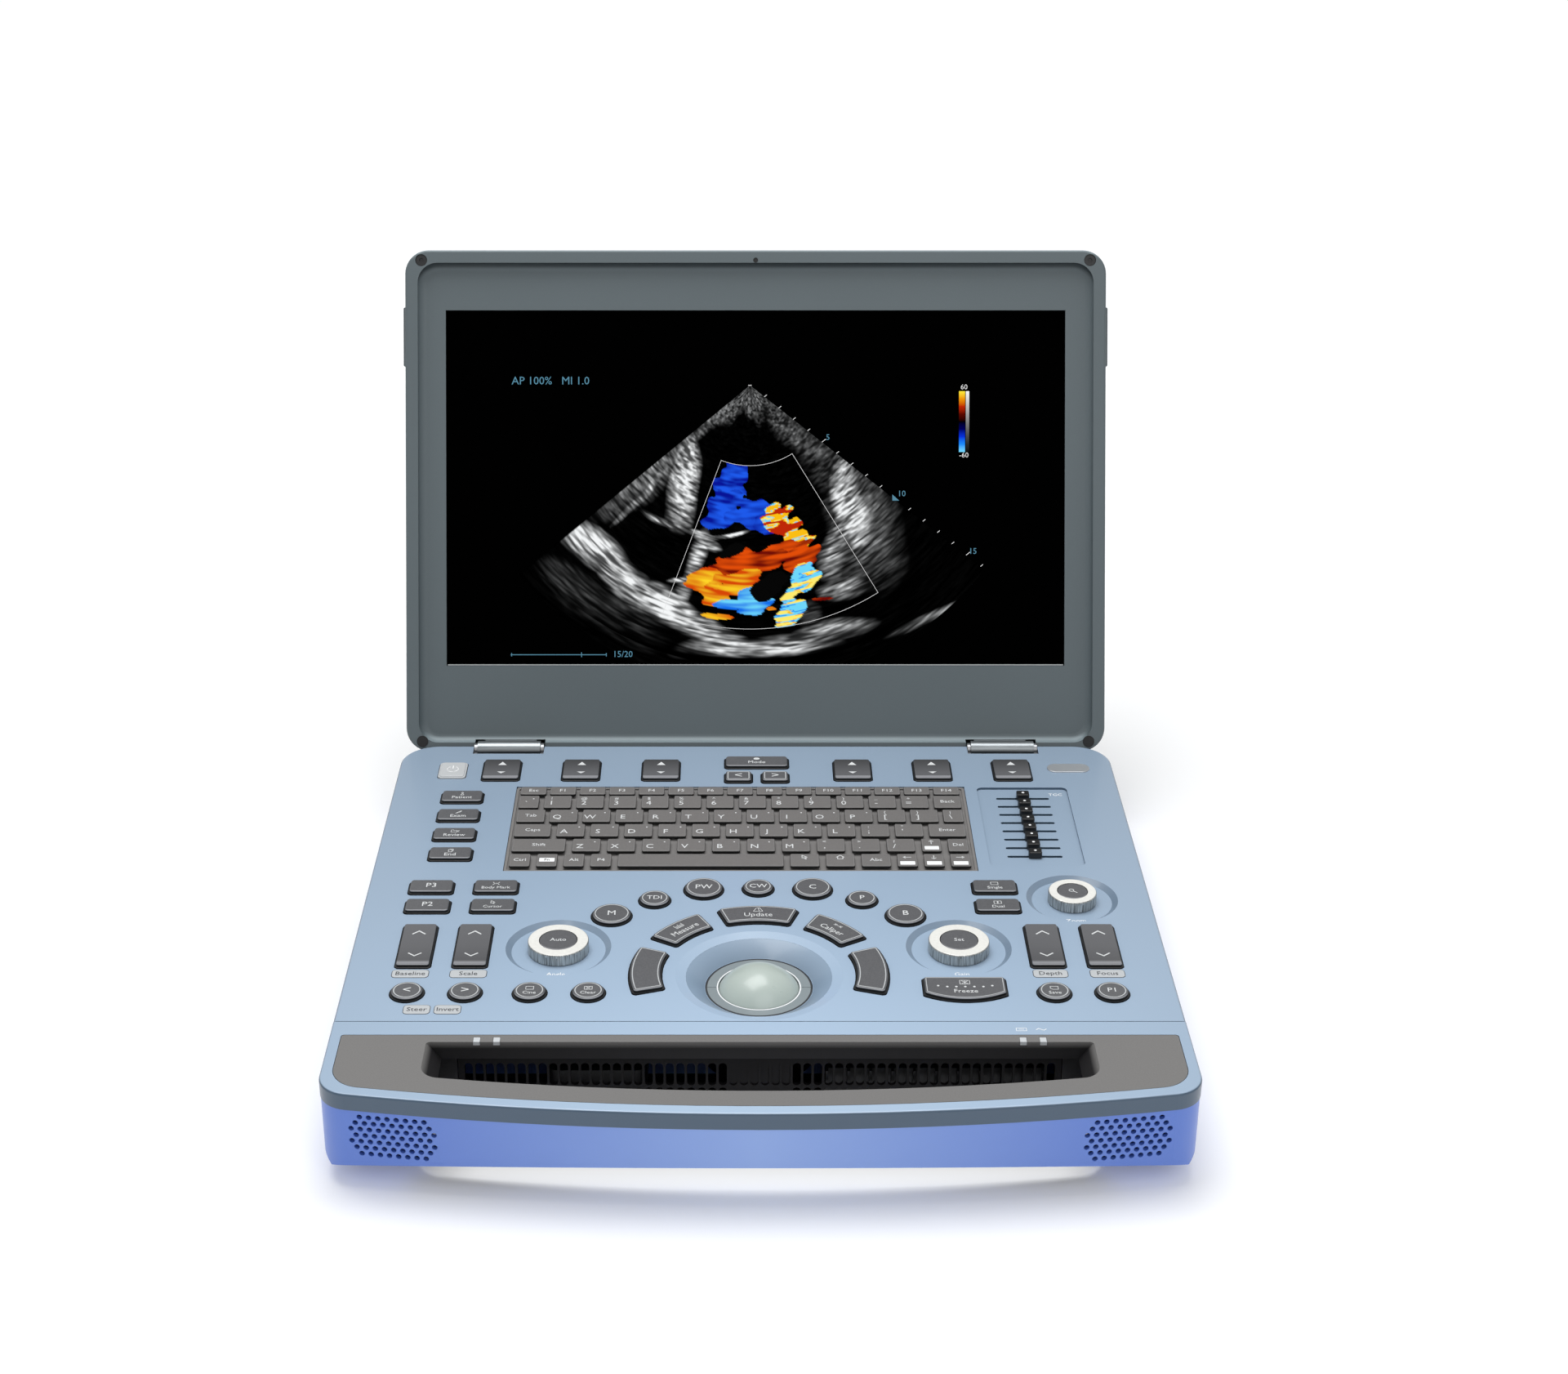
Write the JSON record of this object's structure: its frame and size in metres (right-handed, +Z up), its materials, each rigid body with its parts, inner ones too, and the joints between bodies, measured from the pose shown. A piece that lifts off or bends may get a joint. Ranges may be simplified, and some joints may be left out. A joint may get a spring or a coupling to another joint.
{
  "type": "portable ultrasound scanner",
  "caption": "Laptop-style veterinary ultrasound scanner: hinged display lid, control panel with trackball, knobs, keys and sliders, front grip.",
  "frame": {"origin": "middle of the open scanner's footprint, on the surface under its feet", "axes": "+X to the user's right, -Y towards the user, +Z up"},
  "size_m": [0.391, 0.483, 0.2987],
  "materials": {
    "lower_case": "satin periwinkle blue",
    "panel_blue": "fine satin light steel blue",
    "trim_grey": "matte warm grey",
    "grille_black": "matte black",
    "tray_grey": "matte dark grey",
    "key_grey": "soft-touch dark grey",
    "keyboard_grey": "matte dark warm grey",
    "power_grey": "light grey",
    "knob_silver": "satin silver",
    "slider_black": "matte black",
    "ball_grey": "polished pale grey-green",
    "ring_grey": "satin grey",
    "window_clear": "clear light guide",
    "badge_silver": "satin",
    "bezel_slate": "fine-textured slate grey",
    "display_black": "display module",
    "screen_glass": "dark display glass",
    "hinge_silver": "satin silver",
    "steel": "plain",
    "board_green": "solder mask",
    "battery_black": "matte",
    "sink_aluminium": "plain",
    "socket_black": "matte",
    "rubber_black": "matte"
  },
  "bodies": {
    "base": {"bottom_shell": "lower_case", "top_cover": "panel_blue", "handle_frame": "panel_blue", "handle_trim": "trim_grey", "vent_grille": "grille_black", "speakers": "battery_black", "keyboard_tray": "tray_grey", "panel_board": "board_green", "main_board": "board_green", "front_end_board": "sink_aluminium", "battery_pack": "battery_black", "power_module": "steel", "cooling_fans": "socket_black", "heat_sink": "sink_aluminium", "trackball_ring": "ring_grey", "trackball_housing": "socket_black", "probe_connector": "socket_black", "rear_io_panel": "socket_black", "rubber_feet": "rubber_black", "base_screws": "steel", "hinge_brackets": "steel", "encoders": "steel", "trackball_dish": "panel_blue", "indicator_windows": "window_clear", "badge_plate": "badge_silver"},
    "lid": {"lid_bezel": "bezel_slate", "lid_back_cover": "bezel_slate", "lcd_panel": "display_black", "screen_glass": "screen_glass", "lid_screws": "steel", "lid_pads": "rubber_black", "lid_hinges": "hinge_silver"},
    "latch_left": {"latch_left": "bezel_slate"},
    "latch_right": {"latch_right": "bezel_slate"},
    "trackball": {"trackball": "ball_grey"},
    "angle_knob": {"angle_knob": "knob_silver"},
    "angle_button": {"angle_button": "key_grey"},
    "gain_knob": {"gain_knob": "knob_silver"},
    "gain_button": {"gain_button": "key_grey"},
    "zoom_knob": {"zoom_knob": "knob_silver"},
    "zoom_button": {"zoom_button": "key_grey"},
    "gain_slider_1": {"gain_slider_1": "slider_black"},
    "gain_slider_2": {"gain_slider_2": "slider_black"},
    "gain_slider_3": {"gain_slider_3": "slider_black"},
    "gain_slider_4": {"gain_slider_4": "slider_black"},
    "gain_slider_5": {"gain_slider_5": "slider_black"},
    "gain_slider_6": {"gain_slider_6": "slider_black"},
    "gain_slider_7": {"gain_slider_7": "slider_black"},
    "gain_slider_8": {"gain_slider_8": "slider_black"},
    "freeze_key": {"freeze_key": "key_grey"},
    "power_key": {"power_key": "power_grey"},
    "sector_keys": {"sector_keys": "key_grey"},
    "mode_keys": {"mode_keys": "key_grey"},
    "function_keys": {"function_keys": "key_grey"},
    "keyboard_keys": {"keyboard_keys": "keyboard_grey"},
    "baseline_rocker": {"baseline_rocker": "key_grey"},
    "scale_rocker": {"scale_rocker": "key_grey"},
    "depth_rocker": {"depth_rocker": "key_grey"},
    "focus_rocker": {"focus_rocker": "key_grey"},
    "soft_rockers": {"soft_rockers": "key_grey"}
  },
  "joints": [
    {"name": "lid_hinge", "type": "hinge", "parent": "base", "child": "lid", "pos_m": [0, 0.108, 0.048], "axis": [1, 0, 0], "range_deg": [-15, 114.2]},
    {"name": "latch_left_press", "type": "slide", "parent": "lid", "child": "latch_left", "axis": [1, 0, 0], "range_m": [0, 0.0007], "stiffness_N_per_m": 800, "springref_m": -0.0015},
    {"name": "latch_right_press", "type": "slide", "parent": "lid", "child": "latch_right", "axis": [-1, 0, 0], "range_m": [0, 0.0007], "stiffness_N_per_m": 800, "springref_m": -0.0015},
    {"name": "trackball_roll", "type": "hinge", "parent": "base", "child": "trackball", "pos_m": [0, -0.129, 0.0312], "axis": [1, 0, 0], "continuous": true},
    {"name": "angle_knob_turn", "type": "hinge", "parent": "base", "child": "angle_knob", "pos_m": [-0.0958, -0.1044, 0.051], "axis": [0, 0, -1], "continuous": true},
    {"name": "angle_button_press", "type": "slide", "parent": "base", "child": "angle_button", "axis": [0, 0, -1], "range_m": [0, 0.001], "stiffness_N_per_m": 1500, "springref_m": -0.0008},
    {"name": "gain_knob_turn", "type": "hinge", "parent": "base", "child": "gain_knob", "pos_m": [0.0958, -0.1044, 0.051], "axis": [0, 0, -1], "continuous": true},
    {"name": "gain_button_press", "type": "slide", "parent": "base", "child": "gain_button", "axis": [0, 0, -1], "range_m": [0, 0.001], "stiffness_N_per_m": 1500, "springref_m": -0.0008},
    {"name": "zoom_knob_turn", "type": "hinge", "parent": "base", "child": "zoom_knob", "pos_m": [0.1556, -0.058, 0.051], "axis": [0, 0, -1], "continuous": true},
    {"name": "zoom_button_press", "type": "slide", "parent": "base", "child": "zoom_button", "axis": [0, 0, -1], "range_m": [0, 0.001], "stiffness_N_per_m": 1500, "springref_m": -0.0008},
    {"name": "gain_slider_1_travel", "type": "slide", "parent": "base", "child": "gain_slider_1", "axis": [1, 0, 0], "range_m": [-0.0125, 0.0125]},
    {"name": "gain_slider_2_travel", "type": "slide", "parent": "base", "child": "gain_slider_2", "axis": [1, 0, 0], "range_m": [-0.0125, 0.0125]},
    {"name": "gain_slider_3_travel", "type": "slide", "parent": "base", "child": "gain_slider_3", "axis": [1, 0, 0], "range_m": [-0.0125, 0.0125]},
    {"name": "gain_slider_4_travel", "type": "slide", "parent": "base", "child": "gain_slider_4", "axis": [1, 0, 0], "range_m": [-0.0125, 0.0125]},
    {"name": "gain_slider_5_travel", "type": "slide", "parent": "base", "child": "gain_slider_5", "axis": [1, 0, 0], "range_m": [-0.0125, 0.0125]},
    {"name": "gain_slider_6_travel", "type": "slide", "parent": "base", "child": "gain_slider_6", "axis": [1, 0, 0], "range_m": [-0.0125, 0.0125]},
    {"name": "gain_slider_7_travel", "type": "slide", "parent": "base", "child": "gain_slider_7", "axis": [1, 0, 0], "range_m": [-0.0125, 0.0125]},
    {"name": "gain_slider_8_travel", "type": "slide", "parent": "base", "child": "gain_slider_8", "axis": [1, 0, 0], "range_m": [-0.0125, 0.0125]},
    {"name": "freeze_key_press", "type": "slide", "parent": "base", "child": "freeze_key", "axis": [0, 0, -1], "range_m": [0, 0.0012], "stiffness_N_per_m": 1500, "springref_m": -0.0008},
    {"name": "power_key_press", "type": "slide", "parent": "base", "child": "power_key", "axis": [0, 0, -1], "range_m": [0, 0.0008], "stiffness_N_per_m": 1500, "springref_m": -0.0008},
    {"name": "sector_keys_press", "type": "slide", "parent": "base", "child": "sector_keys", "axis": [0, 0, -1], "range_m": [0, 0.0012], "stiffness_N_per_m": 3000, "springref_m": -0.0008},
    {"name": "mode_keys_press", "type": "slide", "parent": "base", "child": "mode_keys", "axis": [0, 0, -1], "range_m": [0, 0.0012], "stiffness_N_per_m": 3000, "springref_m": -0.0008},
    {"name": "function_keys_press", "type": "slide", "parent": "base", "child": "function_keys", "axis": [0, 0, -1], "range_m": [0, 0.0012], "stiffness_N_per_m": 4000, "springref_m": -0.0008},
    {"name": "keyboard_keys_press", "type": "slide", "parent": "base", "child": "keyboard_keys", "axis": [0, 0, -1], "range_m": [0, 0.001], "stiffness_N_per_m": 5000, "springref_m": -0.0008},
    {"name": "baseline_rocker_tilt", "type": "hinge", "parent": "base", "child": "baseline_rocker", "pos_m": [0, -0.1045, 0.046], "axis": [1, 0, 0], "range_deg": [-2.5, 2.5], "stiffness_Nm_per_rad": 2},
    {"name": "scale_rocker_tilt", "type": "hinge", "parent": "base", "child": "scale_rocker", "pos_m": [0, -0.1045, 0.046], "axis": [1, 0, 0], "range_deg": [-2.5, 2.5], "stiffness_Nm_per_rad": 2},
    {"name": "depth_rocker_tilt", "type": "hinge", "parent": "base", "child": "depth_rocker", "pos_m": [0, -0.1045, 0.046], "axis": [1, 0, 0], "range_deg": [-2.5, 2.5], "stiffness_Nm_per_rad": 2},
    {"name": "focus_rocker_tilt", "type": "hinge", "parent": "base", "child": "focus_rocker", "pos_m": [0, -0.1045, 0.046], "axis": [1, 0, 0], "range_deg": [-2.5, 2.5], "stiffness_Nm_per_rad": 2},
    {"name": "soft_rockers_tilt", "type": "hinge", "parent": "base", "child": "soft_rockers", "pos_m": [0, 0.0778, 0.046], "axis": [1, 0, 0], "range_deg": [-3, 3], "stiffness_Nm_per_rad": 3}
  ]
}
